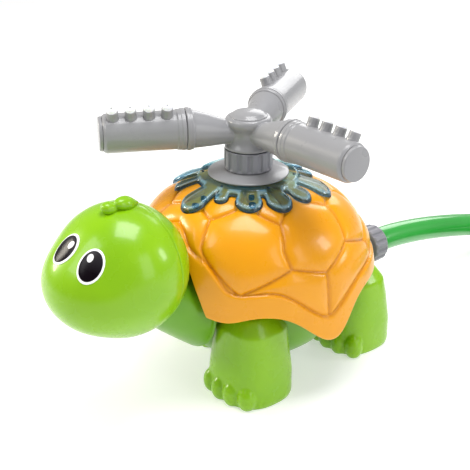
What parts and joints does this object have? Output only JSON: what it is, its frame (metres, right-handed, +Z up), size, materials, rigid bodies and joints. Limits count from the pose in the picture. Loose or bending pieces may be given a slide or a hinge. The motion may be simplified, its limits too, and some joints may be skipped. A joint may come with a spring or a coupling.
{
  "type": "lawn sprinkler",
  "caption": "Walking turtle lawn sprinkler with a domed shell, a spinning spray head on a splash collar, and a garden hose at its tail.",
  "frame": {"origin": "on the ground, under the middle of the turtle's bounding box without its hose", "axes": "+Z up, -Y the way the turtle faces, +X its left side"},
  "size_m": [0.2881, 0.5976, 0.19],
  "materials": {
    "shell_orange": "glossy moulded plastic",
    "turtle_green": "glossy moulded plastic",
    "eye_black": "glossy printed patch",
    "splash_blue": "clear tinted plastic",
    "spinner_grey": "satin moulded plastic",
    "nut_grey": "satin moulded plastic",
    "nozzle_white": "milky soft plastic",
    "rubber_black": "matt rubber",
    "washer_white": "smooth low-friction plastic",
    "screw_steel": "plain steel",
    "hose_green": "smooth flexible hose wall"
  },
  "bodies": {
    "turtle": {"shell": "shell_orange", "belly": "turtle_green", "neck": "turtle_green", "head_front": "turtle_green", "head_back": "turtle_green", "leg_front_left": "turtle_green", "leg_front_right": "turtle_green", "leg_rear_left": "turtle_green", "leg_rear_right": "turtle_green", "eye_left": "eye_black", "eye_right": "eye_black", "splash_collar": "splash_blue", "riser": "spinner_grey", "inlet_fitting": "spinner_grey", "retaining_nut": "nut_grey", "hose_stem": "nut_grey", "hose_connector": "nut_grey", "thrust_washer": "washer_white", "supply_tube": "rubber_black", "hose_washer": "rubber_black", "belly_screw_1": "screw_steel", "belly_screw_2": "screw_steel", "belly_screw_3": "screw_steel", "hose": "hose_green", "hose_coil": "hose_green", "hose_top_turn": "hose_green"},
    "rotor": {"rotor_hub": "spinner_grey", "hub_cap": "spinner_grey"},
    "hose_collar": {"hose_nut": "nut_grey"},
    "spray_bar_1": {"barrel_1": "spinner_grey", "barrel_cap_1": "spinner_grey", "nozzle_1_1": "spinner_grey", "nozzle_1_2": "spinner_grey", "nozzle_1_3": "spinner_grey", "nozzle_1_4": "spinner_grey", "nozzle_tip_1_1": "nozzle_white", "nozzle_tip_1_2": "nozzle_white", "nozzle_tip_1_3": "nozzle_white", "nozzle_tip_1_4": "nozzle_white"},
    "spray_bar_2": {"barrel_2": "spinner_grey", "barrel_cap_2": "spinner_grey", "nozzle_2_1": "spinner_grey", "nozzle_2_2": "spinner_grey", "nozzle_2_3": "spinner_grey", "nozzle_2_4": "spinner_grey", "nozzle_tip_2_1": "nozzle_white", "nozzle_tip_2_2": "nozzle_white", "nozzle_tip_2_3": "nozzle_white", "nozzle_tip_2_4": "nozzle_white"},
    "spray_bar_3": {"barrel_3": "spinner_grey", "barrel_cap_3": "spinner_grey", "nozzle_3_1": "spinner_grey", "nozzle_3_2": "spinner_grey", "nozzle_3_3": "spinner_grey", "nozzle_3_4": "spinner_grey", "nozzle_tip_3_1": "nozzle_white", "nozzle_tip_3_2": "nozzle_white", "nozzle_tip_3_3": "nozzle_white", "nozzle_tip_3_4": "nozzle_white"}
  },
  "joints": [
    {"name": "rotor_spin", "type": "hinge", "parent": "turtle", "child": "rotor", "pos_m": [-0.01031, 0.0128, 0.16], "axis": [0, 0, 1], "continuous": true},
    {"name": "spray_bar_1_twist", "type": "hinge", "parent": "rotor", "child": "spray_bar_1", "pos_m": [0.04967, 0.0115, 0.1698], "axis": [0.9998, -0.0216, 0], "range_deg": [-23, 67]},
    {"name": "spray_bar_2_twist", "type": "hinge", "parent": "rotor", "child": "spray_bar_2", "pos_m": [-0.03918, 0.0654, 0.1698], "axis": [-0.4811, 0.8766, 0], "range_deg": [-23, 67]},
    {"name": "spray_bar_3_twist", "type": "hinge", "parent": "rotor", "child": "spray_bar_3", "pos_m": [-0.04143, -0.0385, 0.1698], "axis": [-0.5186, -0.855, 0], "range_deg": [-23, 67]},
    {"name": "hose_nut_turn", "type": "hinge", "parent": "turtle", "child": "hose_collar", "pos_m": [-0.01031, 0.1378, 0.0478], "axis": [0, 1, 0], "continuous": true}
  ]
}
